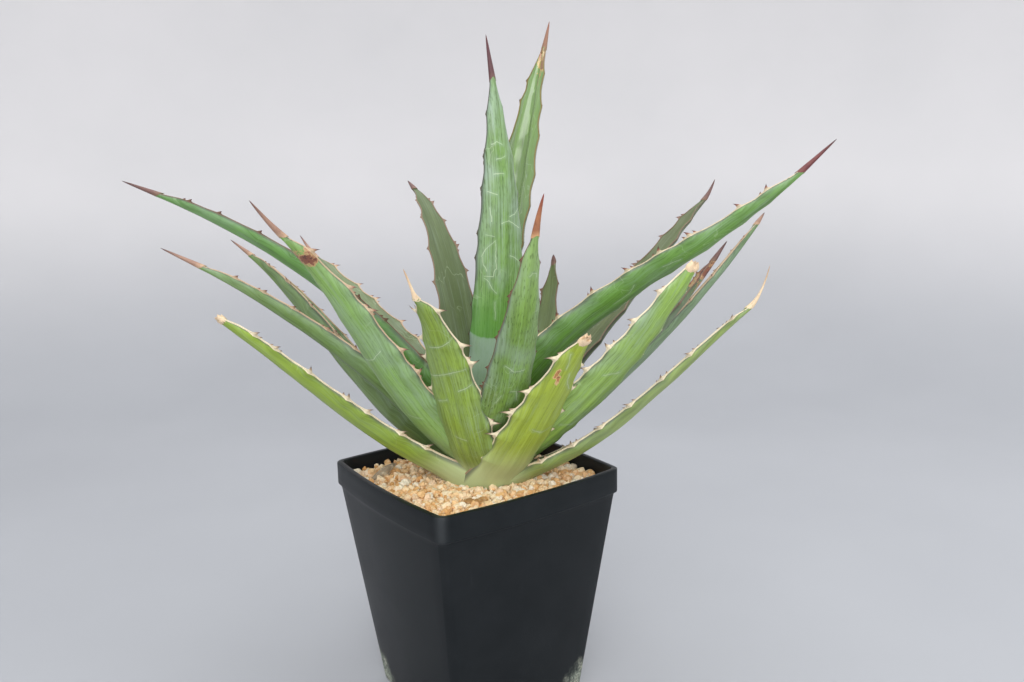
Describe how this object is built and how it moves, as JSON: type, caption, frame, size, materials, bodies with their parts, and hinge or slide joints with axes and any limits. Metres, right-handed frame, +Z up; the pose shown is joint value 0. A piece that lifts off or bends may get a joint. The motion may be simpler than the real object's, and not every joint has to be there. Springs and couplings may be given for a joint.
{
  "type": "potted agave plant",
  "caption": "Spiny rosette succulent with long toothed leaves, growing in mineral grit in a square tapered black nursery pot.",
  "frame": {"origin": "centre of the pot's underside, on the surface it stands on", "axes": "+Z up; X and Y square to the pot's sides"},
  "size_m": [0.281, 0.2701, 0.3398],
  "materials": {
    "pot": "black satin moulded plastic",
    "grit": "loose tan and cream grit",
    "stem": "pale plant stock",
    "leaf_fresh": "waxy bright green leaf",
    "leaf_blue": "waxy grey-green leaf",
    "leaf_old": "waxy yellow-green leaf",
    "horn_cream": "dry horn",
    "horn_tan": "dry horn",
    "horn_brown": "dry horn",
    "horn_maroon": "fresh dark horn",
    "horn_orange": "fresh horn"
  },
  "bodies": {
    "root": {"pot": "pot", "grit": "grit", "stem": "stem", "leaf_01": "leaf_old", "leaf_02": "leaf_old", "leaf_03": "leaf_old", "leaf_04": "leaf_blue", "leaf_05": "leaf_blue", "leaf_06": "leaf_blue", "leaf_07": "leaf_fresh", "leaf_08": "leaf_old", "leaf_09": "leaf_blue", "leaf_10": "leaf_blue", "leaf_11": "leaf_blue", "leaf_12": "leaf_fresh", "leaf_13": "leaf_fresh", "leaf_14": "leaf_blue", "leaf_15": "leaf_fresh", "leaf_16": "leaf_blue", "leaf_17": "leaf_blue", "leaf_18": "leaf_blue", "leaf_19": "leaf_blue", "leaf_20": "leaf_fresh", "leaf_21": "leaf_fresh", "leaf_22": "leaf_fresh", "margin_01": "horn_cream", "margin_02": "horn_cream", "margin_03": "horn_cream", "margin_04": "horn_tan", "margin_05": "horn_tan", "margin_06": "horn_tan", "margin_07": "horn_cream", "margin_08": "horn_cream", "margin_09": "horn_tan", "margin_10": "horn_brown", "margin_11": "horn_tan", "margin_12": "horn_tan", "margin_13": "horn_brown", "margin_14": "horn_brown", "margin_15": "horn_maroon", "margin_16": "horn_brown", "margin_17": "horn_orange", "margin_18": "horn_brown", "margin_19": "horn_brown", "margin_20": "horn_maroon", "margin_21": "horn_maroon", "margin_22": "horn_maroon"}
  },
  "joints": []
}
